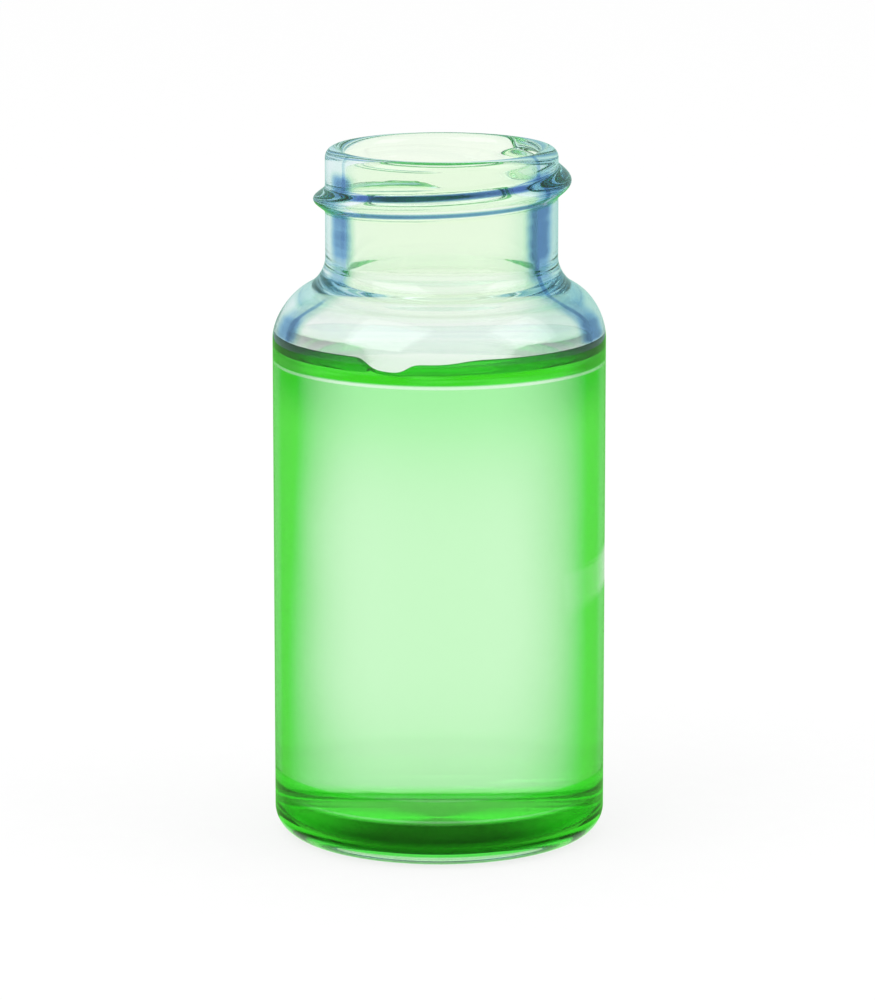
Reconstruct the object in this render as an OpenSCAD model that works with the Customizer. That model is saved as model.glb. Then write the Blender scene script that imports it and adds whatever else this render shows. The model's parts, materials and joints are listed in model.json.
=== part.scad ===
// Glass sample vial with a screw-thread neck, open at the mouth and filled to its shoulder.
// Millimetres. +Z is up the axis of the vial, and the origin is the centre of the ring it stands on.
// The vial is one piece of glass: a body with a drawn-in shoulder and neck, a melted rim,
// and a single bead of thread raised round the neck. The liquid is a solid of its own.

/* [Body] */
// Outside diameter of the body
body_d = 28; // [26:0.5:32]
// Height from the standing ring to the top of the rim
height = 58.6; // [57:0.2:70]
// Thickness of the body wall
wall = 1.15; // [0.9:0.05:1.4]

/* [Base] */
// Thickness of the base beside the wall
base_t = 1.3; // [1:0.1:2.5]
// Radius of the outside turn from the side to the base
heel_r = 2.2; // [1.6:0.1:3]
// Radius of the inside turn from the wall to the floor
floor_r = 1.8; // [1.2:0.1:2.6]
// Width of the ring that the vial stands on
foot_w = 1; // [0.6:0.1:2]
// Height of the hollow under the middle of the base
punt_h = 0.6; // [0.3:0.1:1]
// Rise of the inside floor towards its middle
floor_rise = 0.5; // [0.2:0.1:0.8]

/* [Shoulder] */
// Height at which the side starts to curve inwards
shoulder_z = 42.5; // [36:0.5:43.5]
// Radius of the outside curve at the top of the side
shoulder_r = 4.9; // [4.2:0.1:5.4]
// Angle that this curve turns through before the shoulder runs straight
shoulder_turn = 60; // [50:1:68]

/* [Neck] */
// Outside diameter of the neck between its thread and its ends
neck_d = 19.5; // [18.9:0.1:20]
// Inside diameter of the neck
mouth_d = 16.1; // [15.2:0.1:16.7]
// Radius of the outside hollow between the shoulder and the neck
neck_fillet_r = 2.75; // [2:0.05:3]
// Radius of the inside edge between the shoulder and the neck
throat_r = 1.4; // [1:0.1:2]

/* [Thread] */
// Rise of the thread in one turn
thread_lead = 3.175; // [2.8:0.025:3.5]
// Length of the thread in turns
thread_turns = 0.97; // [0.8:0.01:1.2]
// Distance from the rim down to the middle of the thread's lower end
thread_drop = 5.2; // [4.9:0.1:6]
// Direction in which the thread's lower end points, from +X towards +Y
thread_start = 80; // [0:5:355]
// Height of the bead above the neck at its lower end
thread_h_low = 0.95; // [0.8:0.05:1.1]
// Height of the bead above the neck at its upper end
thread_h_high = 1.15; // [0.9:0.05:1.2]
// Width of the bead where it leaves the neck, at its lower end
thread_w_low = 1.7; // [1.4:0.1:2.2]
// Width of the bead where it leaves the neck, at its upper end
thread_w_high = 2.8; // [2.2:0.1:3]
// Angle over which the bead rises out of the neck at each end
thread_fade = 26; // [15:1:40]

/* [Liquid] */
// Height of the flat middle of the liquid above the standing ring
level_z = 40.8; // [20:0.2:41]
// Height that the liquid climbs at the wall
climb_h = 1.7; // [1:0.1:2]
// Distance from the wall in which that climb falls to about a third
climb_w = 1.3; // [0.8:0.1:1.8]

/* [Hidden] */

$fn = 96;
body_r = body_d / 2;
inside_r = body_r - wall;
neck_r = neck_d / 2;
mouth_r = mouth_d / 2;
lip_r = (neck_r - mouth_r) / 2;
foot_r = body_r - heel_r - foot_w;
floor_flat_r = inside_r - floor_r;
past = 5;                   // how far a cutting shape runs past the glass

bead_sink = 0.25;           // depth in the neck at which the bead's own sides start
bead_stub = 0.1;            // share of the bead's height left at its two buried ends
bead_taper = 0.5;           // share of the bead's width left there
bead_facets = 12;           // flats across the bead
thread_angle = 360 * thread_turns;
thread_steps = ceil(thread_angle / 3.75);
meniscus_steps = 24;

// Radius of the circle that rises by `rise` at its middle over a half width `half`
function dome_r(half, rise) = (half * half + rise * rise) / (2 * rise);

// Smooth step from 0 to 1
function ease(x) = let (c = min(1, max(0, x))) c * c * (3 - 2 * c);
function blend(a, b, t) = a + (b - a) * t;

// Half section, from the axis out, of a bottle's plain form: a side with a rounded heel,
// a convex curve and a straight run for the shoulder, then a concave curve into the neck.
// The outside of the glass and the hollow in it both have this form.
module bottle_section(bottom_z, side_r, heel, curve, throat, fillet, top_z) {
    heel_c = [side_r - heel, bottom_z + heel];
    curve_c = [side_r - curve, shoulder_z];
    curve_end = curve_c + curve * [cos(shoulder_turn), sin(shoulder_turn)];
    fillet_start_r = throat + fillet * (1 - cos(shoulder_turn));
    fillet_start_z = curve_end.y + (curve_end.x - fillet_start_r) / tan(shoulder_turn);
    fillet_c = [throat + fillet, fillet_start_z + fillet * sin(shoulder_turn)];
    difference() {
        union() {
            polygon([
                [0, bottom_z],
                [heel_c.x, bottom_z],
                [side_r, heel_c.y],
                [side_r, shoulder_z],
                curve_end,
                [fillet_start_r, fillet_start_z],
                [throat, fillet_c.y],
                [throat, top_z],
                [0, top_z]
            ]);
            translate(heel_c) circle(heel);
            translate(curve_c) circle(curve);
        }
        translate(fillet_c) circle(fillet);
    }
}

// Outside of the glass up to where the rim starts to round over, with the hollow under the base
module outside_section() {
    punt_r = dome_r(foot_r, punt_h);
    difference() {
        bottle_section(0, body_r, heel_r, shoulder_r, neck_r, neck_fillet_r, height - lip_r);
        translate([0, punt_h - punt_r]) circle(punt_r, $fn = 720);
    }
}

// Hollow inside the glass, up past the rim, over the raised middle of the floor
module hollow_section() {
    rise_r = dome_r(floor_flat_r, floor_rise);
    difference() {
        bottle_section(base_t, inside_r, floor_r, shoulder_r - wall, mouth_r, throat_r, height + past);
        translate([0, base_t + floor_rise - rise_r]) circle(rise_r, $fn = 720);
    }
}

// Revolved glass: the wall, and the rim melted to a full round
module glass_wall() {
    rotate_extrude() {
        difference() {
            outside_section();
            hollow_section();
        }
        translate([neck_r - lip_r, height - lip_r]) circle(lip_r);
    }
}

// One cross section of the thread's bead, at `angle` degrees along it: points from its lower
// foot over the crest to its upper foot, all on the bead_sink circle at the feet
function bead_section(angle) =
    let (
        t = angle / thread_angle,
        h = blend(thread_h_low, thread_h_high, t),
        w = blend(thread_w_low, thread_w_high, t),
        fade = ease(min(angle, thread_angle - angle) / thread_fade),
        full_h = bead_sink + h,
        reach = w / 2 * 180 / acos(2 * bead_sink / full_h - 1) * blend(bead_taper, 1, fade),
        rise = full_h * blend(bead_stub, 1, fade),
        mid_z = height - thread_drop + thread_lead * angle / 360,
        turn = thread_start + angle
    )
    [for (k = [0 : bead_facets])
        let (
            v = 2 * k / bead_facets - 1,
            r = neck_r - bead_sink + rise * (1 + cos(180 * v)) / 2
        )
        [r * cos(turn), r * sin(turn), mid_z + v * reach]
    ];

// Thread: one right-handed bead that grows a little towards its upper end
module thread() {
    row = bead_facets + 1;
    points = [for (i = [0 : thread_steps]) each bead_section(thread_angle * i / thread_steps)];
    sides = [for (i = [0 : thread_steps - 1], k = [0 : bead_facets])
        let (next = (k + 1) % row)
        [i * row + k, i * row + next, (i + 1) * row + next, (i + 1) * row + k]
    ];
    low_end = [for (k = [bead_facets : -1 : 0]) k];
    high_end = [for (k = [0 : bead_facets]) thread_steps * row + k];
    polyhedron(points, concat(sides, [low_end, high_end]), convexity = 4);
}

module vial() {
    color([0.80, 0.92, 0.90, 0.45]) {
        glass_wall();
        thread();
    }
}

// Liquid: fills the hollow up to a flat middle and climbs the glass at its edge
module liquid() {
    surface = [for (i = [0 : meniscus_steps])
        let (r = inside_r * (1 - pow(i / meniscus_steps, 2)))
        [r, level_z + climb_h * exp((r - inside_r) / climb_w)]
    ];
    color([0.42, 0.87, 0.36])
        rotate_extrude()
            intersection() {
                hollow_section();
                polygon(concat([[0, 0], [body_r, 0], [body_r, level_z + climb_h]], surface));
            }
}

vial();
liquid();
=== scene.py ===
"""Glass sample vial, open at the mouth and filled to its shoulder with a clear green liquid.

Two pieces dress the frame: the glass, which is one spun wall with a thread bead raised on its
neck, and the liquid, whose skin lies just inside the glass so that light passes straight from one
into the other. All sizes are in metres, and the axis of the vial is the Z axis.
"""

import json
from math import acos, atan2, cos, exp, pi, radians, sqrt, tan
from typing import NamedTuple

import bmesh
import bpy
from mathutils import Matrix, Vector


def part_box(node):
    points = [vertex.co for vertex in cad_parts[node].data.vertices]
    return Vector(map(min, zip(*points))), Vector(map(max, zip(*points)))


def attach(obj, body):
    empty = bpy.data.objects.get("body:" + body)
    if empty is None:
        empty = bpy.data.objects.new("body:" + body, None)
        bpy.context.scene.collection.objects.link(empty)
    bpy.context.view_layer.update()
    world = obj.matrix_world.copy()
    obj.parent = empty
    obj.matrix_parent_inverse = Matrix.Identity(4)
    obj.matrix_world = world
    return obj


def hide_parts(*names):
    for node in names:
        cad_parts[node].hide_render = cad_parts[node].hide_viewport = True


bl_info = {
    "name": "Glass Sample Vial",
    "version": (1, 0, 0),
    "blender": (4, 5, 0),
    "location": "3D View > Sidebar > Vial",
    "description": "Builds the glass and the liquid of a sample vial over its frame, and a studio",
    "category": "Object",
}

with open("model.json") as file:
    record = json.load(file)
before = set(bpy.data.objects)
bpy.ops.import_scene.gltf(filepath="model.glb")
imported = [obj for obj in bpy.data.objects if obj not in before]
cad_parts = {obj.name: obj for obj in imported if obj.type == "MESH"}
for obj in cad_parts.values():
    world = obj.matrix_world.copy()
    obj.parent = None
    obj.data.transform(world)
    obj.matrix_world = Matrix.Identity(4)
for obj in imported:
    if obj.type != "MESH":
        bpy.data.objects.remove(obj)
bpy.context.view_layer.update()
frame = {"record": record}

_, VIAL_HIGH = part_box("vial")
LIQUID_LOW, LIQUID_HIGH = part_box("liquid")
MOUTH = next(m for m in frame["record"]["mounts"] if m["name"] == "mouth")
BODY = next(m for m in frame["record"]["mounts"] if m["name"] == "body")

MM = 0.001
MERGE = 0.002 * MM
SPIN_STEPS = 256
SHARP = radians(50)
BOUNCES = 24

WHITE = (1, 1, 1)
PAPER_DARK = (0.86, 0.86, 0.86)
PAPER_LIGHT = (0.88, 0.88, 0.88)

# The bead's own sides start this deep in the neck, and its foot is softened by the second length
BEAD_SINK = 0.25 * MM
BEAD_SOFT = 0.10 * MM
# Shares of the bead's height and width that are left at its two buried ends
BEAD_STUB = 0.1
BEAD_TAPER = 0.5
# Share of half the rim's width that each of its two edges is rounded by
LIP_SHARE = 0.98
# The bead is raised on what lies this far over the start of the shoulder
NECK_START = 6.0 * MM
# Height over the liquid's edge in which the glass goes to one side
ASIDE_RUN = 5.0 * MM
# Where the liquid's edge dips: direction and half width in degrees, and share of the climb it loses
EDGE_DIPS = ((-98, 17, 0.20), (-109, 8, 0.42))

# Heights between which the thick glass of the base has its painted bands of shade, light and
# refracted liquid colour, from the table up
FOOT_RING_TOP = 0.99 * MM
FOOT_TOP = 1.31 * MM
HEEL_LOW, HEEL_HIGH = 1.15 * MM, 3.95 * MM
BAND_LOW, BAND_HIGH = 3.70 * MM, 5.90 * MM
GLINT_LOW, GLINT_HIGH = 4.05 * MM, 4.22 * MM

# Distances from the vial's axis at which the table changes its mirrored colour
CLOSE_END, NEAR_START = 14.0 * MM, 14.8 * MM
NEAR_END, FAR_START = 260 * MM, 300 * MM
STRIP_START, STRIP_END = 99 * MM, 116 * MM


# ---------------------------------------------------------------- sizes and colours


def length(name, description, default):
    """A size in metres that a user can change."""
    return bpy.props.FloatProperty(
        name=name, description=description, default=default, unit="LENGTH", precision=5
    )


def angle(name, description, default_deg):
    """An angle that a user can change; its default is in degrees."""
    return bpy.props.FloatProperty(
        name=name, description=description, default=radians(default_deg), subtype="ANGLE"
    )


def colour(name, description, default):
    """A colour that a user can change."""
    return bpy.props.FloatVectorProperty(
        name=name, description=description, default=default, subtype="COLOR", size=3, min=0, max=1
    )


def factor(name, description, default, low=0.0, high=1.0):
    """A plain number that a user can change."""
    return bpy.props.FloatProperty(
        name=name, description=description, default=default, min=low, max=high
    )


class VialSizes(bpy.types.PropertyGroup):
    """Sizes of the glass and of the liquid in it"""

    height: length("Height", "From the foot to the top of the rim", VIAL_HIGH.z)
    body_r: length("Body radius", "Outside radius of the body", BODY["dims"]["r_mm"] * MM)
    inside_r: length("Inside radius", "Inside radius of the body", LIQUID_HIGH.x)
    mouth_r: length("Mouth radius", "Inside radius of the neck", MOUTH["dims"]["r_mm"] * MM)
    neck_r: length("Neck radius", "Outside radius of the neck", 9.75 * MM)
    heel_r: length("Heel", "Radius of the outside turn into the base", 2.2 * MM)
    floor_r: length("Floor corner", "Radius of the inside turn into the floor", 1.8 * MM)
    foot_w: length("Foot", "Width of the ring that the vial stands on", 1.0 * MM)
    punt_h: length("Punt", "Height of the hollow under the base", 0.6 * MM)
    floor_rise: length("Floor rise", "Rise of the inside floor towards its middle", 0.5 * MM)
    base_t: length("Base thickness", "Thickness of the base beside the wall", LIQUID_LOW.z)
    shoulder_z: length("Shoulder height", "Where the side starts to curve in", 42.5 * MM)
    shoulder_r: length("Shoulder curve", "Outside radius of that curve", 4.9 * MM)
    shoulder_turn: angle("Shoulder turn", "Angle that this curve turns through", 60)
    neck_fillet_r: length("Neck hollow", "Outside radius between shoulder and neck", 2.75 * MM)
    neck_aside: length("Neck aside", "How far the neck stands to one side of the body", 0.2 * MM)
    throat_r: length("Throat", "Radius of the inside edge below the neck", 1.4 * MM)
    thread_lead: length("Thread lead", "Rise of the thread in one turn", 3.175 * MM)
    thread_drop: length("Thread drop", "From the rim to the thread's lower end", 5.2 * MM)
    thread_start: angle("Thread start", "Direction in which the thread's lower end points", 80)
    thread_fade: angle("Thread fade", "Angle over which the bead rises out of the neck", 26)
    thread_h_low: length("Low bead height", "Bead height at its lower end", 0.95 * MM)
    thread_h_high: length("High bead height", "Bead height at its upper end", 1.15 * MM)
    thread_w_low: length("Low bead width", "Bead width at its lower end", 1.7 * MM)
    thread_w_high: length("High bead width", "Bead width at its upper end", 2.8 * MM)
    thread_turns: factor("Thread turns", "Length of the thread in turns", 0.97, 0.5, 1.5)
    contact_z: length("Liquid edge", "Height at which the liquid meets the glass", LIQUID_HIGH.z)
    climb_h: length("Climb", "How far the liquid climbs the glass", 1.7 * MM)
    climb_w: length("Climb width", "Width in which that climb falls to a third", 1.3 * MM)
    climb_share: factor("Climb share", "Share of the climb made beside its dips", 1.2, 0.0, 2.0)
    overlap: length("Overlap", "How far the liquid's skin reaches into the glass", 0.03 * MM)


class VialFinishAndPaintedLight(bpy.types.PropertyGroup):
    """Colours and clearness of the glass and the liquid, and tints that paint light and shade on
    them
    """

    glass: colour("Glass", "Tint that light takes on in passing the neck", (0.89, 1.0, 0.75))
    glass_clear: colour("Clear glass", "Tint it takes on in passing the body", (1.0, 1.0, 0.96))
    glass_deep: colour("Glass depth", "Light that deep glass lets through", (0.0, 0.62, 0.88))
    glass_density: factor("Glass density", "How fast glass colours light", 24.0, 0.0, 500.0)
    # Painted shade: blue and dark tints where the wall and the thread are seen along their surface,
    # standing in for the dark studio seen through them
    painted_bead_shade: colour("Thick glass", "Tint of the thread seen from the side", (0.80, 0.95, 1.0))
    painted_edge_pale: colour("Quarter turned", "Tint of glass starting to turn away", (0.52, 0.79, 0.68))
    painted_edge_half: colour("Half turned", "Tint of glass that turns away", (0.18, 0.42, 0.54))
    painted_edge_dark: colour("Glass edge", "Tint of glass seen along its surface", (0.045, 0.18, 0.42))
    painted_flank_shade: colour("Thread flank", "Tint of the thread's steep sides", (0.010, 0.050, 0.20))
    painted_upper_flank_shade: colour("Upper flank", "Further tint of its upper side", (0.55, 0.42, 1.0))
    # Painted shade and light in the thick base: a dark band low in the wall, paler at its sides,
    # the liquid's green as the glass refracts it, and a paler painted ring next to the table
    heel_shade: colour("Heel", "Tint of the thick glass at the base", (0.002, 0.06, 0.0005))
    heel_side_shade: colour("Heel side", "Tint of that glass at its two sides", (0.03, 0.55, 0.01))
    foot: colour("Foot", "Tint of the glass under the liquid", (0.03, 1.0, 0.008))
    foot_ring_light: colour("Foot ring", "Tint of the glass next to the table", (1.0, 1.0, 0.34))
    low: colour("Low band", "Tint of the glass round the lowest liquid", (0.20, 1.0, 0.12))
    liquid_floor: colour("Liquid floor", "Tint of the liquid at its floor", (0.22, 1.0, 0.14))
    # Painted shade on the liquid: fuller green towards its sides and ends and under its edge, and a
    # dark streaky band where it climbs the glass, darker at its two ends; the plain tint half way
    # up is its own colour
    liquid_side_shade: colour("Liquid side", "Tint of the liquid at its sides", (0.014, 0.60, 0.004))
    liquid_shade: colour("Liquid shade", "Tint of its sides under its edge", (0.0006, 0.36, 0.0))
    liquid_plain: colour("Liquid", "Tint of the liquid half way up", (0.68, 0.99, 0.64))
    liquid_ends_shade: colour("Liquid ends", "Tint near its top and its floor", (0.30, 0.90, 0.29))
    meniscus_shade: colour("Meniscus", "Tint of the liquid that climbs the glass", (0.002, 0.46, 0.0))
    meniscus_shade_streaks: colour("Meniscus streaks", "Tint of the streaks in it", (0.008, 0.60, 0.002))
    meniscus_ends_shade: colour("Meniscus ends", "Further tint of its two ends", (0.30, 0.30, 0.30))
    liquid_deep: colour("Liquid depth", "Light that deep liquid lets through", (0.0, 0.92, 0.0))
    liquid_density: factor("Liquid density", "How fast liquid colours light", 10.0, 0.0, 500.0)
    glass_ior: factor("Glass IOR", "Refractive index of the glass", 1.5, 1.0, 2.0)
    liquid_ior: factor("Liquid IOR", "Refractive index of the liquid", 1.333, 1.0, 2.0)


class VialStudio(bpy.types.PropertyGroup):
    """Camera and light"""

    distance: length("Camera distance", "From the vial's axis to the camera", 441.5 * MM)
    camera_z: length("Camera height", "Height of the camera over the foot", 121.0 * MM)
    pitch: angle("Camera pitch", "How far the camera looks down", 11.83)
    lens: bpy.props.FloatProperty(
        name="Lens", description="Focal length", default=192.1, unit="CAMERA"
    )
    shift: factor("Sideways shift", "Sideways shift of the picture", -0.00178, -0.1, 0.1)
    world: factor("World", "Strength of the light from all round", 1.0, 0.0, 2.0)
    key_power: factor("Key lamp", "Power of the lamp on the left, in watts", 3.0, 0.0, 100.0)
    fill_power: factor("Fill lamp", "Power of the lamp on the right, in watts", 1.5, 0.0, 100.0)
    ceiling: colour("Ceiling", "What glass shows of the light overhead", (0.45, 0.68, 0.66))
    table_close: colour("Table, close", "What the vial's foot mirrors of it", (0.62, 1.0, 0.60))
    table_near: colour("Table, near", "What the vial's body mirrors of it", (0.16, 0.66, 0.11))
    table_far: colour("Table, far", "What its neck and shoulder mirror", (0.38, 0.64, 0.56))


# ---------------------------------------------------------------- shader maths


class Val:
    """A shader socket that takes part in Python expressions by adding Math nodes."""

    def __init__(self, tree, socket):
        self.tree = tree
        self.socket = socket

    def __add__(self, other):
        return self.tree.math("ADD", self, other)

    def __sub__(self, other):
        return self.tree.math("SUBTRACT", self, other)

    def __mul__(self, other):
        return self.tree.math("MULTIPLY", self, other)

    def __radd__(self, other):
        return self.tree.math("ADD", other, self)

    def __rsub__(self, other):
        return self.tree.math("SUBTRACT", other, self)

    def __rmul__(self, other):
        return self.tree.math("MULTIPLY", other, self)


class Tree:
    """A node tree that is written as expressions."""

    def __init__(self, owner):
        owner.use_nodes = True
        self.nodes = owner.node_tree.nodes
        self.links = owner.node_tree.links
        self.nodes.clear()

    def add(self, kind, settings=None, inputs=None, out=0):
        """A new node, with its settings made first and then the values or links of its sockets.
        Returns one of its outputs."""
        node = self.nodes.new(kind)
        for name, value in (settings or {}).items():
            if name == "stops":
                self.set_stops(node.color_ramp, value)
            else:
                setattr(node, name, value)
        for name, value in (inputs or {}).items():
            socket = node.inputs[name]
            if isinstance(value, Val):
                self.links.new(value.socket, socket)
            else:
                socket.default_value = value
        return Val(self, node.outputs[out]) if node.outputs else None

    def set_stops(self, ramp, stops):
        """Gives a colour ramp its stops, each of them a place and a colour."""
        while len(ramp.elements) < len(stops):
            ramp.elements.new(0.5)
        for element, (place, tint) in zip(ramp.elements, stops):
            element.position = place
            element.color = (*tint, 1.0)

    def math(self, operation, *values):
        """A Math node on numbers or on other Vals."""
        return self.add("ShaderNodeMath", {"operation": operation}, dict(enumerate(values)))

    def mix(self, fac, a, b):
        """Colour a where fac is 0 and b where it is 1."""
        return self.add(
            "ShaderNodeMix",
            {"data_type": "RGBA"},
            {0: fac, 6: rgba(a), 7: rgba(b)},
            out=2,
        )

    def filtered(self, fac, tint, by):
        """The colour tint, seen through the colour `by` where fac is 1."""
        return self.add(
            "ShaderNodeMix",
            {"data_type": "RGBA", "blend_type": "MULTIPLY"},
            {0: fac, 6: rgba(tint), 7: rgba(by)},
            out=2,
        )

    def step(self, value, low, high, to_low=0.0, to_high=1.0):
        """Smooth run from to_low at low to to_high at high."""
        limits = {"From Min": low, "From Max": high, "To Min": to_low, "To Max": to_high}
        return self.add(
            "ShaderNodeMapRange", {"interpolation_type": "SMOOTHSTEP"}, {"Value": value, **limits}
        )

    def above(self, value, level, soft):
        """0 below level and 1 above it, with an edge that takes `soft` to change."""
        return self.step(value, level - soft / 2, level + soft / 2)

    def below(self, value, level, soft):
        """1 below level and 0 above it, with an edge that takes `soft` to change."""
        return self.step(value, level - soft / 2, level + soft / 2, 1.0, 0.0)

    def band(self, value, low, high, soft):
        """1 between low and high and 0 outside, with edges that take `soft` to change."""
        return self.above(value, low, soft) * self.below(value, high, soft)

    def place(self):
        """The Object coordinates, in metres."""
        return self.add("ShaderNodeTexCoord", out="Object")

    def noise(self, scale, detail=2.0):
        """Noise with its own scale along each axis."""
        place = self.add("ShaderNodeMapping", {}, {"Vector": self.place(), "Scale": scale})
        values = {"Vector": place, "Scale": 1.0, "Detail": detail}
        return self.add("ShaderNodeTexNoise", {}, values)

    def parts(self, vector):
        """The three numbers of a vector."""
        split = {0: vector}
        return [self.add("ShaderNodeSeparateXYZ", {}, split, out=axis) for axis in "XYZ"]

    def ray(self, kind):
        """1 where the ray is of one kind, such as Camera or Glossy."""
        return self.add("ShaderNodeLightPath", out=f"Is {kind} Ray")

    def mirrored(self):
        """1 for a ray that a surface has just mirrored, and 0 for one that passed through it."""
        return self.ray("Glossy") * (1 - self.ray("Transmission"))

    def depth(self, tint, density):
        """Absorption all through a piece."""
        return self.add(
            "ShaderNodeVolumeAbsorption", {}, {"Color": rgba(tint), "Density": density}
        )

    def surface(self, shader, volume=None):
        """Ends a material with its shader and, where it has one, its volume."""
        links = {"Surface": shader}
        if volume is not None:
            links["Volume"] = volume
        self.add("ShaderNodeOutputMaterial", {}, links)


def rgba(value):
    """A colour as a socket takes it, or the Val that it is."""
    return value if isinstance(value, Val) else (*value, 1.0)


# ---------------------------------------------------------------- finishes and painted light and shade


class Spot:
    """What the tint at a point of a surface depends on."""

    def __init__(self, tree):
        self.x, self.y, self.z = tree.parts(tree.place())
        self.radius = tree.math("SQRT", self.x * self.x + self.y * self.y)
        # 1 for a ray that comes from outside the piece, and 0 for one from within it
        self.entering = 1 - tree.add("ShaderNodeNewGeometry", out="Backfacing")
        # How far the surface faces up, on the side that the ray comes from
        self.slope = tree.parts(tree.add("ShaderNodeNewGeometry", out="Normal"))[2]


class GlassSpot(Spot):
    """What the tint of the glass depends on."""

    def __init__(self, tree):
        super().__init__(tree)
        # 0 where the round wall faces the line of sight, and 1 at its two edges
        radial = tree.add("ShaderNodeCombineXYZ", {}, {0: self.x, 1: self.y, 2: 0.0})
        radial = tree.add("ShaderNodeVectorMath", {"operation": "NORMALIZE"}, {0: radial})
        facing = {"Blend": 0.5, "Normal": radial}
        self.turned = tree.add("ShaderNodeLayerWeight", {}, facing, out="Facing")
        self.outside = tree.add("ShaderNodeAttribute", {"attribute_name": "outside"}, out="Fac")
        # The outer side of the wall next to the eye
        self.near = self.outside * self.entering
        self.streaks = tree.noise((90, 90, 1500), 3.0)


class LiquidSpot(Spot):
    """What the tint of the liquid depends on."""

    def __init__(self, tree, sizes):
        super().__init__(tree)
        # 0 where the skin faces the line of sight, and 1 where it is seen along
        self.facing = tree.add("ShaderNodeLayerWeight", {}, {"Blend": 0.5}, out="Facing")
        self.swirl = tree.noise((60, 60, 40))
        # The free top, and the side of the skin next to the eye
        upper_half = tree.above(self.z, sizes.contact_z / 2, 1.0 * MM)
        self.top = tree.step(self.slope, 0.2, 0.5) * upper_half
        self.side = self.entering * (1 - self.top)


def neck_tint(t, spot, finish, sizes):
    """Tint of the glass over the liquid, with painted shade. Where a thick wall is seen along its
    surface it is painted blue, and the steep sides of the thread are painted dark."""
    broad = t.noise((240, 240, 90))
    in_neck = t.step(spot.z, sizes.shoulder_z + 2 * MM, sizes.shoulder_z + 4.5 * MM)
    clear = t.mix(in_neck, finish.glass_clear, finish.glass)
    clear = t.mix(1 - spot.outside, WHITE, clear)

    # Painted shade: the wall's two blue bands, with a thin darker line in each, and a pale painted
    # shade on one side
    along = spot.turned - 0.17 * (1 - in_neck) + (broad - 0.5) * 0.10
    fade = t.step(along, 0.54, 0.74, 1.0, 0.12)
    edge = t.step(along, 0.29, 0.43) * fade * t.step(spot.streaks, 0.25, 0.6, 0.76, 0.94)
    dark_line_shade = t.band(along, 0.43, 0.475, 0.02) * t.step(broad, 0.35, 0.55, 0.05, 0.35)
    one_side_shade = t.step(spot.x, 3 * MM, 8 * MM) * t.step(spot.turned, 0.10, 0.34) * 0.22

    # The wide bands are weaker on the neck's fillet, the rim and the bead
    fillet = t.band(spot.z, sizes.shoulder_z + 2.5 * MM, sizes.shoulder_z + 7.5 * MM, 1.0 * MM)
    rim = t.above(spot.z, sizes.height - 1.7 * MM, 1.0 * MM)
    bead = t.step(spot.radius, sizes.neck_r + 0.25 * MM, sizes.neck_r + 0.6 * MM) * in_neck
    edge = edge * (1 - 0.40 * fillet) * (1 - 0.85 * rim) * (1 - 0.45 * bead)

    # Painted shade: dark lines on the thread's steep sides, which are fainter on the far side of
    # the neck
    thread_low, thread_high = sizes.height - 7 * MM, sizes.height - 1.2 * MM
    on_thread = t.band(spot.z, thread_low, thread_high, 0.5 * MM) * spot.outside
    flank = on_thread * (0.6 + 0.4 * spot.entering)
    upper = t.step(spot.slope, 0.68, 0.78) * t.step(spot.turned, 0.25, 0.42, 1.0, 0.0)
    lower = t.step(spot.slope, -0.68, -0.80) * t.step(spot.turned, 0.30, 0.48, 1.0, 0.2)

    wall = t.above(spot.z, sizes.contact_z + 0.65 * MM, 0.7 * MM) * spot.outside
    # How much painted shade each point of the wall and the thread gets, from none to the darkest
    # tint
    blue = wall * (one_side_shade + edge + dark_line_shade) + flank * (upper + lower)
    tints = [WHITE, finish.painted_edge_pale, finish.painted_edge_half, finish.painted_edge_dark, finish.painted_flank_shade]
    stops = [(number / (len(tints) - 1), tint) for number, tint in enumerate(tints)]
    tint = t.add("ShaderNodeValToRGB", {"stops": stops}, {"Fac": blue})
    tint = t.filtered(1.0, tint, clear)
    tint = t.filtered(flank * upper, tint, finish.painted_upper_flank_shade)
    # Painted shade: a pale blue on the thread where it turns away from the eye
    return t.filtered(bead * t.step(spot.turned, 0.35, 0.75), tint, finish.painted_bead_shade)


def base_tint(t, spot, finish, tint):
    """The tint, with painted bands that stand in for the liquid's colour refracted in the thick
    glass of the base, with painted shade low in the wall, a painted highlight line and a paler
    painted ring next to the table.
    """
    to_side = t.step(spot.turned, 0.08, 0.55)
    # Painted: a green band over the lowest liquid, broken by a thin painted highlight line
    band = t.band(spot.z, BAND_LOW, BAND_HIGH, 0.2 * MM) * spot.near
    painted_glint = t.band(spot.z, GLINT_LOW, GLINT_HIGH, 0.08 * MM) * (1 - to_side)
    tint = t.mix(band * (1 - painted_glint), tint, finish.low)
    # Painted shade: a dark band low in the wall, paler at its sides, then the green under the
    # liquid and the paler painted ring next to the table
    heel_shade = t.above(spot.z, HEEL_LOW, 0.1 * MM) * t.below(spot.z, HEEL_HIGH, 0.4 * MM) * spot.near
    deep = t.mix(to_side, finish.heel_shade, finish.heel_side_shade)
    deep = t.mix(t.step(spot.turned, 0.62, 0.80), deep, finish.low)
    tint = t.mix(heel_shade, tint, deep)
    tint = t.mix(t.below(spot.z, FOOT_TOP, 0.14 * MM) * spot.near, tint, finish.foot)
    return t.mix(t.below(spot.z, FOOT_RING_TOP, 0.18 * MM) * spot.near, tint, finish.foot_ring_light)


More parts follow.
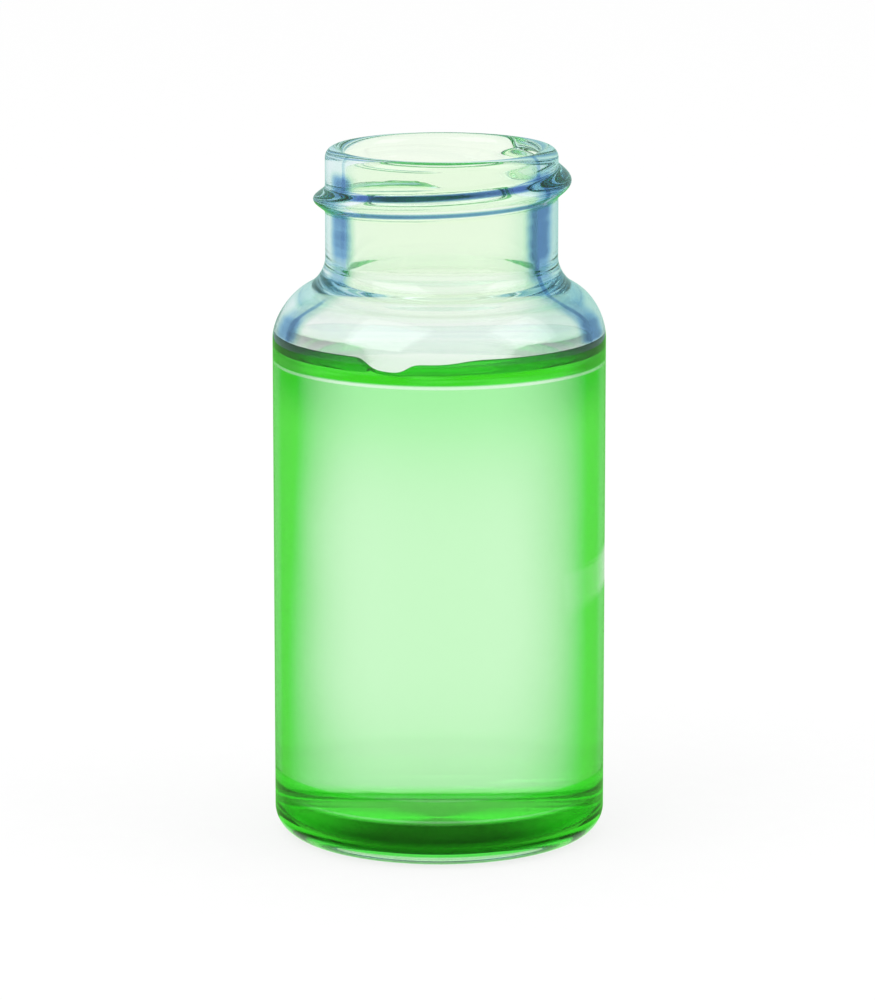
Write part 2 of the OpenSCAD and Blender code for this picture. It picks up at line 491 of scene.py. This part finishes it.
def glass_material(finish, sizes):
    """Clear drawn glass, painted blue as shade where it is seen along its surface, and with painted
    bands of shade and liquid green in its thick base.
    """
    mat = bpy.data.materials.new("clear_glass")
    t = Tree(mat)
    spot = GlassSpot(t)
    haze = t.noise((260, 260, 260))
    drawn = {"Strength": 0.05, "Distance": 0.05 * MM, "Height": spot.streaks}
    shader = t.add(
        "ShaderNodeBsdfPrincipled",
        {},
        {
            "Base Color": base_tint(t, spot, finish, neck_tint(t, spot, finish, sizes)),
            "Roughness": t.step(haze, 0.60, 0.80, 0.0, 0.02),
            "IOR": finish.glass_ior,
            "Transmission Weight": 1.0,
            "Normal": t.add("ShaderNodeBump", {}, drawn),
        },
    )
    t.surface(shader, t.depth(finish.glass_deep, finish.glass_density))
    return mat


def body_tint(t, spot, finish, sizes):
    """Tint of the liquid's side, painted as shade: pale at the front and half way up, full towards
    its edges, and darker towards its top and its floor and under its edge.
    """
    middle = (sizes.contact_z + sizes.base_t) / 2
    from_middle = (spot.z - middle) * (1 / (16 * MM))
    ends = t.step(from_middle * from_middle, 0.0, 1.3)
    tint = t.mix(spot.side, WHITE, t.mix(ends, finish.liquid_plain, finish.liquid_ends_shade))
    rising = t.step(spot.z, middle, sizes.contact_z)
    along = spot.facing + (spot.swirl - 0.5) * 0.10 + rising * 0.02
    turned = t.step(along, 0.03, 0.25) * t.step(spot.facing, 0.272, 0.308, 1.0, 0.8)
    high = t.step(spot.z, sizes.contact_z - 7 * MM, sizes.contact_z - 2.5 * MM)
    full = t.mix(high, finish.liquid_side_shade, finish.liquid_shade)
    return t.mix(turned * spot.side, tint, full)


def edge_tint(t, spot, finish, sizes, tint):
    """The tint, with a streaky band of painted shade where the liquid climbs the glass, and a
    painted highlight line under it."""
    level_z = sizes.contact_z - sizes.climb_h
    # Painted shade where the liquid climbs the glass, with lighter streaks and darker ends
    climbing = t.above(spot.z, level_z - 0.05 * MM, 0.14 * MM)
    ripple = t.noise((110, 110, 2000))
    climb = t.mix(t.step(ripple, 0.46, 0.60), finish.meniscus_shade, finish.meniscus_shade_streaks)
    climb = t.filtered(t.step(spot.facing, 0.12, 0.25), climb, finish.meniscus_ends_shade)
    tint = t.mix(climbing * spot.side, tint, climb)
    # Painted highlight: a bright line just under the liquid's level
    line = t.band(spot.z, level_z - 0.34 * MM, level_z - 0.12 * MM, 0.1 * MM)
    line = line * t.step(spot.facing, 0.06, 0.22, 0.85, 0.15)
    return t.mix(line * spot.side, tint, WHITE)


def floor_tint(t, spot, finish, sizes, tint):
    """The tint, with the liquid's floor, a painted light ring in it, and a line of painted shade in
    its corner.
    """
    outward = spot.slope * (2 * spot.entering - 1)
    floor = t.below(outward, -0.7, 0.4)
    tint = t.mix(floor, tint, finish.liquid_floor)
    # Painted light: a paler ring in the floor
    ring = t.band(spot.radius, 7.8 * MM, 10.2 * MM, 0.3 * MM)
    tint = t.mix(ring * floor, tint, WHITE)
    # Painted shade: a dark line in the floor's corner
    corner = t.below(spot.z, sizes.base_t + 0.25 * MM, 0.14 * MM)
    corner = corner * t.above(spot.radius, 11.05 * MM, 0.3 * MM) * (1 - spot.entering)
    return t.mix(corner, tint, finish.meniscus_shade)


def liquid_material(finish, sizes):
    """Clear green liquid, with painted light and shade: pale where it is looked straight into, full
    green towards its edges, dark where it climbs the glass. It is bright on top, where a coat
    mirrors the studio."""
    mat = bpy.data.materials.new("green_liquid")
    t = Tree(mat)
    spot = LiquidSpot(t, sizes)
    tint = body_tint(t, spot, finish, sizes)
    tint = edge_tint(t, spot, finish, sizes, tint)
    tint = floor_tint(t, spot, finish, sizes, tint)
    shader = t.add(
        "ShaderNodeBsdfPrincipled",
        {},
        {
            "Base Color": tint,
            "Roughness": t.step(spot.swirl, 0.60, 0.80, 0.0, 0.015),
            "IOR": finish.liquid_ior,
            "Transmission Weight": 1.0,
            "Coat Weight": spot.top * spot.entering,
            "Coat IOR": 2.5,
            "Coat Roughness": 0.0,
        },
    )
    t.surface(shader, t.depth(finish.liquid_deep, finish.liquid_density))
    return mat


# ---------------------------------------------------------------- modelling


class Corner(NamedTuple):
    """A corner of an outline, how it is rounded, and the height of the rows in the run after it."""

    r: float
    z: float
    rounding: float = 0.0
    segments: int = 0
    row: float = 0.0


def spin_piece(name, corners, shape):
    """Mesh object spun round the axis from an outline whose two ends lie on it. The function
    `shape` then moves each vertex of it."""
    bm = bmesh.new()
    verts = [bm.verts.new((corner.r, 0, corner.z)) for corner in corners]
    for pair in zip(verts, verts[1:]):
        bm.edges.new(pair)
    for vert, corner in zip(verts, corners):
        if corner.rounding:
            bmesh.ops.bevel(
                bm,
                geom=[vert],
                offset=corner.rounding,
                offset_type="OFFSET",
                segments=corner.segments,
                profile=0.5,
                affect="VERTICES",
                material=-1,
            )
    bmesh.ops.remove_doubles(bm, verts=bm.verts, dist=MERGE)
    split_long_edges(bm, corners)
    bmesh.ops.spin(
        bm,
        geom=bm.verts[:] + bm.edges[:],
        cent=(0, 0, 0),
        axis=(0, 0, 1),
        angle=2 * pi,
        steps=SPIN_STEPS,
        use_merge=True,
    )
    bmesh.ops.remove_doubles(bm, verts=bm.verts, dist=MERGE)
    bmesh.ops.recalc_face_normals(bm, faces=bm.faces)
    for vert in bm.verts:
        shape(vert)
    mesh = bpy.data.meshes.new(name)
    bm.to_mesh(mesh)
    bm.free()
    mesh.shade_smooth()
    mesh.set_sharp_from_angle(angle=SHARP)
    piece = bpy.data.objects.new(name, mesh)
    bpy.context.scene.collection.objects.link(piece)
    return piece


def split_long_edges(bm, corners):
    """Cuts each straight run of the outline into rows."""
    for start, end in zip(corners, corners[1:]):
        if not start.row:
            continue
        run = Vector((end.r - start.r, 0, end.z - start.z))
        along = run.normalized()
        for edge in bm.edges[:]:
            low, high = (vert.co for vert in edge.verts)
            middle = (low + high) / 2 - Vector((start.r, 0, start.z))
            off_line = (middle - middle.project(run)).length
            parallel = abs((high - low).normalized().dot(along)) > 0.9999
            on_run = off_line < MERGE and parallel and 0 < middle.dot(along) < run.length
            if on_run and edge.calc_length() > start.row:
                cuts = int(edge.calc_length() / start.row)
                bmesh.ops.subdivide_edges(bm, edges=[edge], cuts=cuts)


def mark_outside(mesh):
    """Stores 1 on the outer side of a spun wall and 0 on the side that looks at the axis."""
    mark = mesh.attributes.new("outside", "FLOAT", "POINT")
    for point, vert in zip(mark.data, mesh.vertices):
        point.value = float(vert.normal.xy.dot(vert.co.xy) > 0)


def dome(r, edge_r, rise):
    """Height of a shallow dome over the ring of radius edge_r."""
    ball = (edge_r**2 + rise**2) / (2 * rise)
    return sqrt(ball**2 - min(r, edge_r) ** 2) - (ball - rise)


def ease(x):
    """Smooth step from 0 to 1."""
    c = min(1.0, max(0.0, x))
    return c * c * (3 - 2 * c)


def blend(a, b, t):
    """a where t is 0 and b where it is 1."""
    return a + (b - a) * t


def bead_height(sizes, turn, z):
    """How far the thread stands out of the neck at the angle turn and the height z."""
    whole = 2 * pi * sizes.thread_turns
    best = 0.0
    along = (turn - sizes.thread_start) % (2 * pi)
    while along < whole:
        t = along / whole
        fade = ease(min(along, whole - along) / sizes.thread_fade)
        full = BEAD_SINK + blend(sizes.thread_h_low, sizes.thread_h_high, t)
        reach = blend(sizes.thread_w_low, sizes.thread_w_high, t) / 2
        reach *= pi / acos(2 * BEAD_SINK / full - 1) * blend(BEAD_TAPER, 1, fade)
        middle = sizes.height - sizes.thread_drop + sizes.thread_lead * along / (2 * pi)
        v = (z - middle) / reach
        if abs(v) < 1:
            raised = full * blend(BEAD_STUB, 1, fade) * (1 + cos(pi * v)) / 2 - BEAD_SINK
            soft = (raised + sqrt(raised**2 + BEAD_SOFT**2)) / 2
            best = max(best, soft - BEAD_SOFT**2 / (4 * BEAD_SINK))
        along += 2 * pi
    return best


def shoulder_corners(sizes, side_r, curve_r, neck_r, fillet_r):
    """Height and rounding of a shoulder's two corners, which are where its straight run would meet
    the side and the neck."""
    turn = sizes.shoulder_turn
    low_z = sizes.shoulder_z + curve_r * tan(turn / 2)
    high_z = low_z + (side_r - neck_r) / tan(turn)
    return (low_z, curve_r * tan(turn / 2)), (high_z, fillet_r * tan(turn / 2))


def glass_outline(s):
    """Outline of the glass from the middle of the base, up the outside and down the inside."""
    foot_r = s.body_r - s.heel_r - s.foot_w
    wall = s.body_r - s.inside_r
    lip = (s.neck_r - s.mouth_r) / 2 * LIP_SHARE
    (out_low_z, out_low), (out_high_z, out_high) = shoulder_corners(
        s, s.body_r, s.shoulder_r, s.neck_r, s.neck_fillet_r
    )
    (in_low_z, in_low), (in_high_z, in_high) = shoulder_corners(
        s, s.inside_r, s.shoulder_r - wall, s.mouth_r, s.throat_r
    )
    return [
        Corner(0, 0, row=0.5 * MM),
        Corner(foot_r, 0, row=0.5 * MM),
        Corner(s.body_r, 0, s.heel_r, 16, 1.2 * MM),
        Corner(s.body_r, s.shoulder_z - 0.3 * MM, row=0.3 * MM),
        Corner(s.body_r, out_low_z, out_low, 20, 0.25 * MM),
        Corner(s.neck_r, out_high_z, out_high, 14, 0.10 * MM),
        Corner(s.neck_r, s.height, lip, 10, 0.10 * MM),
        Corner(s.mouth_r, s.height, lip, 10, 0.5 * MM),
        Corner(s.mouth_r, in_high_z, in_high, 10, 0.25 * MM),
        Corner(s.inside_r, in_low_z, in_low, 20, 1.2 * MM),
        Corner(s.inside_r, s.base_t, s.floor_r, 14, 0.5 * MM),
        Corner(0, s.base_t),
    ]


def build_glass(sizes, finish):
    """The vial: one closed wall of glass with its thread bead, punt and raised floor."""
    foot_r = sizes.body_r - sizes.heel_r - sizes.foot_w
    floor_flat_r = sizes.inside_r - sizes.floor_r
    neck_low = sizes.shoulder_z + NECK_START

    def shape(vert):
        r, z = vert.co.xy.length, vert.co.z
        if z < MERGE and r < foot_r:
            vert.co.z = dome(r, foot_r, sizes.punt_h)
        elif abs(z - sizes.base_t) < MERGE and r < floor_flat_r:
            vert.co.z += dome(r, floor_flat_r, sizes.floor_rise)
        elif z > neck_low and r > (sizes.neck_r + sizes.mouth_r) / 2:
            vert.co.xy *= 1 + bead_height(sizes, atan2(vert.co.y, vert.co.x), z) / r
        vert.co.x += sizes.neck_aside * ease((z - sizes.contact_z) / ASIDE_RUN)

    piece = spin_piece("vial_glass", glass_outline(sizes), shape)
    mark_outside(piece.data)
    piece.data.materials.append(glass_material(finish, sizes))
    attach(piece, "root")
    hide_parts("vial")
    return piece


def wetting(sizes, turn):
    """Share of its climb that the liquid makes in one direction: its edge dips near the front."""
    share = sizes.climb_share
    for middle, width, depth in EDGE_DIPS:
        share -= depth * exp(-(((turn - radians(middle)) / radians(width)) ** 4))
    return share


def build_liquid(sizes, finish):
    """The liquid: its skin runs just inside the glass, and its top climbs the wall."""
    side_r = sizes.inside_r + sizes.overlap
    floor_z = sizes.base_t - sizes.overlap
    floor_flat_r = sizes.inside_r - sizes.floor_r
    level_z = sizes.contact_z - sizes.climb_h
    corners = [
        Corner(0, floor_z, row=0.5 * MM),
        Corner(side_r, floor_z, sizes.floor_r, 14, 1.2 * MM),
        Corner(side_r, sizes.contact_z, row=0.07 * MM),
        Corner(0, sizes.contact_z),
    ]

    def shape(vert):
        r, z = vert.co.xy.length, vert.co.z
        if abs(z - floor_z) < MERGE and r < floor_flat_r:
            vert.co.z += dome(r, floor_flat_r, sizes.floor_rise)
        elif abs(z - sizes.contact_z) < MERGE:
            fall = min(0.0, r - sizes.inside_r) / sizes.climb_w
            vert.co.z = level_z + sizes.climb_h * exp(fall)
        climb = vert.co.z - level_z
        if climb > 0:
            vert.co.z = level_z + climb * wetting(sizes, atan2(vert.co.y, vert.co.x))

    piece = spin_piece("liquid_fill", corners, shape)
    piece.data.materials.append(liquid_material(finish, sizes))
    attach(piece, "root")
    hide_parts("liquid")
    return piece


# ---------------------------------------------------------------- the studio


def build_world(studio):
    """White all round to the eye. Through glass, what lies overhead has the ceiling's colour, and
    what a surface mirrors of it has the far table's."""
    world = bpy.data.worlds.new("studio_world")
    bpy.context.scene.world = world
    t = Tree(world)
    up = t.parts(t.add("ShaderNodeTexCoord", out="Generated"))[2]
    overhead = t.step(up, 0.35, 0.70) * t.ray("Glossy")
    tint = t.mix(overhead, WHITE, studio.ceiling)
    tint = t.mix(t.mirrored(), tint, studio.table_far)
    shader = t.add("ShaderNodeBackground", {}, {"Color": tint, "Strength": studio.world})
    t.add("ShaderNodeOutputWorld", {}, {"Surface": shader})


def table_material(studio):
    """White table that keeps the vial's soft shadow. Glass shows it as bright as the backdrop, and
    what a surface mirrors of it has the studio's table colours."""
    mat = bpy.data.materials.new("white_table")
    # Its glow is there to be seen and not to light the vial
    mat.cycles.emission_sampling = "NONE"
    t = Tree(mat)
    mirrored = t.mirrored()
    x, y, _ = t.parts(t.place())
    radius = t.math("SQRT", x * x + y * y)
    grain = t.noise((400, 400, 400), 3.0)
    paper = t.mix(t.step(grain, 0.3, 0.7), PAPER_DARK, PAPER_LIGHT)
    diffuse = t.add("ShaderNodeBsdfDiffuse", {}, {"Color": paper})

    # A whiter strip behind the vial, on one side, for the glass to mirror
    strip = t.band(radius, STRIP_START, STRIP_END, 6 * MM)
    strip = strip * t.step(x, 0.0, 10 * MM) * t.step(y, 0.0, 10 * MM)
    around = t.mix(t.step(radius, CLOSE_END, NEAR_START), studio.table_close, studio.table_near)
    around = t.mix(t.step(radius, NEAR_END, FAR_START), around, studio.table_far)
    around = t.mix(strip * 0.6, around, WHITE)
    seen = t.mix(mirrored, WHITE, around)
    glow = t.add("ShaderNodeEmission", {}, {"Color": seen, "Strength": 1.0})
    share = t.ray("Camera") * 0.80 + t.ray("Transmission") * 0.75 + mirrored
    t.surface(t.add("ShaderNodeMixShader", {}, {0: share, 1: diffuse, 2: glow}))
    return mat


def build_stage(studio):
    """Table, soft lamps, world and camera."""
    bm = bmesh.new()
    bmesh.ops.create_grid(bm, x_segments=1, y_segments=1, size=3.0)
    mesh = bpy.data.meshes.new("table")
    bm.to_mesh(mesh)
    bm.free()
    table = bpy.data.objects.new("table", mesh)
    bpy.context.scene.collection.objects.link(table)
    mesh.materials.append(table_material(studio))
    build_world(studio)
    add_lamp("key", (-0.55, -0.45, 0.75), 0.8, studio.key_power)
    add_lamp("fill", (0.70, -0.20, 0.60), 0.6, studio.fill_power)
    add_camera(studio)


def add_lamp(name, place, size, power):
    """A soft square lamp that looks at the middle of the vial."""
    data = bpy.data.lights.new(name, "AREA")
    data.size, data.energy = size, power
    lamp = bpy.data.objects.new(name, data)
    lamp.location = place
    middle = Vector((0, 0, VIAL_HIGH.z / 2))
    lamp.rotation_euler = (middle - lamp.location).to_track_quat("-Z", "Y").to_euler()
    bpy.context.scene.collection.objects.link(lamp)


def add_camera(studio):
    """Camera in front of the vial that looks down at it."""
    data = bpy.data.cameras.new("camera")
    data.lens = studio.lens
    data.shift_x = studio.shift
    data.clip_start, data.clip_end = 0.01, 20
    camera = bpy.data.objects.new("camera", data)
    camera.location = (0, -studio.distance, studio.camera_z)
    camera.rotation_euler = (pi / 2 - studio.pitch, 0, 0)
    bpy.context.scene.collection.objects.link(camera)
    bpy.context.scene.camera = camera


def set_view():
    """Plain view, and enough bounces for light to pass all walls of the glass and the liquid."""
    scene = bpy.context.scene
    scene.view_settings.view_transform = "Standard"
    scene.cycles.max_bounces = BOUNCES
    scene.cycles.transmission_bounces = BOUNCES
    scene.cycles.glossy_bounces = BOUNCES


# ---------------------------------------------------------------- the add-on


class VIAL_OT_glass(bpy.types.Operator):
    """Build the glass of the vial"""

    bl_idname = "vial.build_glass"
    bl_label = "Glass"

    def execute(self, context):
        scene = context.scene
        build_glass(scene.vial_sizes, scene.vial_finish)
        return {"FINISHED"}


class VIAL_OT_liquid(bpy.types.Operator):
    """Build the liquid in the vial"""

    bl_idname = "vial.build_liquid"
    bl_label = "Liquid"

    def execute(self, context):
        scene = context.scene
        build_liquid(scene.vial_sizes, scene.vial_finish)
        return {"FINISHED"}


class VIAL_OT_stage(bpy.types.Operator):
    """Build the table, the lamps, the world and the camera"""

    bl_idname = "vial.build_stage"
    bl_label = "Stage"

    def execute(self, context):
        build_stage(context.scene.vial_studio)
        set_view()
        return {"FINISHED"}


class VIAL_PT_panel(bpy.types.Panel):
    """Sizes, finishes with their painted light and shade, and build steps of the vial"""

    bl_label = "Sample Vial"
    bl_idname = "VIAL_PT_panel"
    bl_space_type = "VIEW_3D"
    bl_region_type = "UI"
    bl_category = "Vial"

    def draw(self, context):
        layout = self.layout
        scene = context.scene
        for group in (scene.vial_sizes, scene.vial_finish, scene.vial_studio):
            column = layout.column(align=True)
            for name in group.__annotations__:
                column.prop(group, name)
        for operator in (VIAL_OT_glass, VIAL_OT_liquid, VIAL_OT_stage):
            layout.operator(operator.bl_idname)


CLASSES = (
    VialSizes,
    VialFinishAndPaintedLight,
    VialStudio,
    VIAL_OT_glass,
    VIAL_OT_liquid,
    VIAL_OT_stage,
    VIAL_PT_panel,
)


def register():
    """Adds the classes, and their three groups of properties to the scene."""
    for cls in CLASSES:
        bpy.utils.register_class(cls)
    bpy.types.Scene.vial_sizes = bpy.props.PointerProperty(type=VialSizes)
    bpy.types.Scene.vial_finish = bpy.props.PointerProperty(type=VialFinishAndPaintedLight)
    bpy.types.Scene.vial_studio = bpy.props.PointerProperty(type=VialStudio)


def unregister():
    """Takes them away again."""
    del bpy.types.Scene.vial_studio
    del bpy.types.Scene.vial_finish
    del bpy.types.Scene.vial_sizes
    for cls in reversed(CLASSES):
        bpy.utils.unregister_class(cls)


def main():
    """Builds the vial and its stage."""
    register()
    bpy.ops.vial.build_glass()
    bpy.ops.vial.build_liquid()
    bpy.ops.vial.build_stage()


if __name__ == "__main__":
    main()
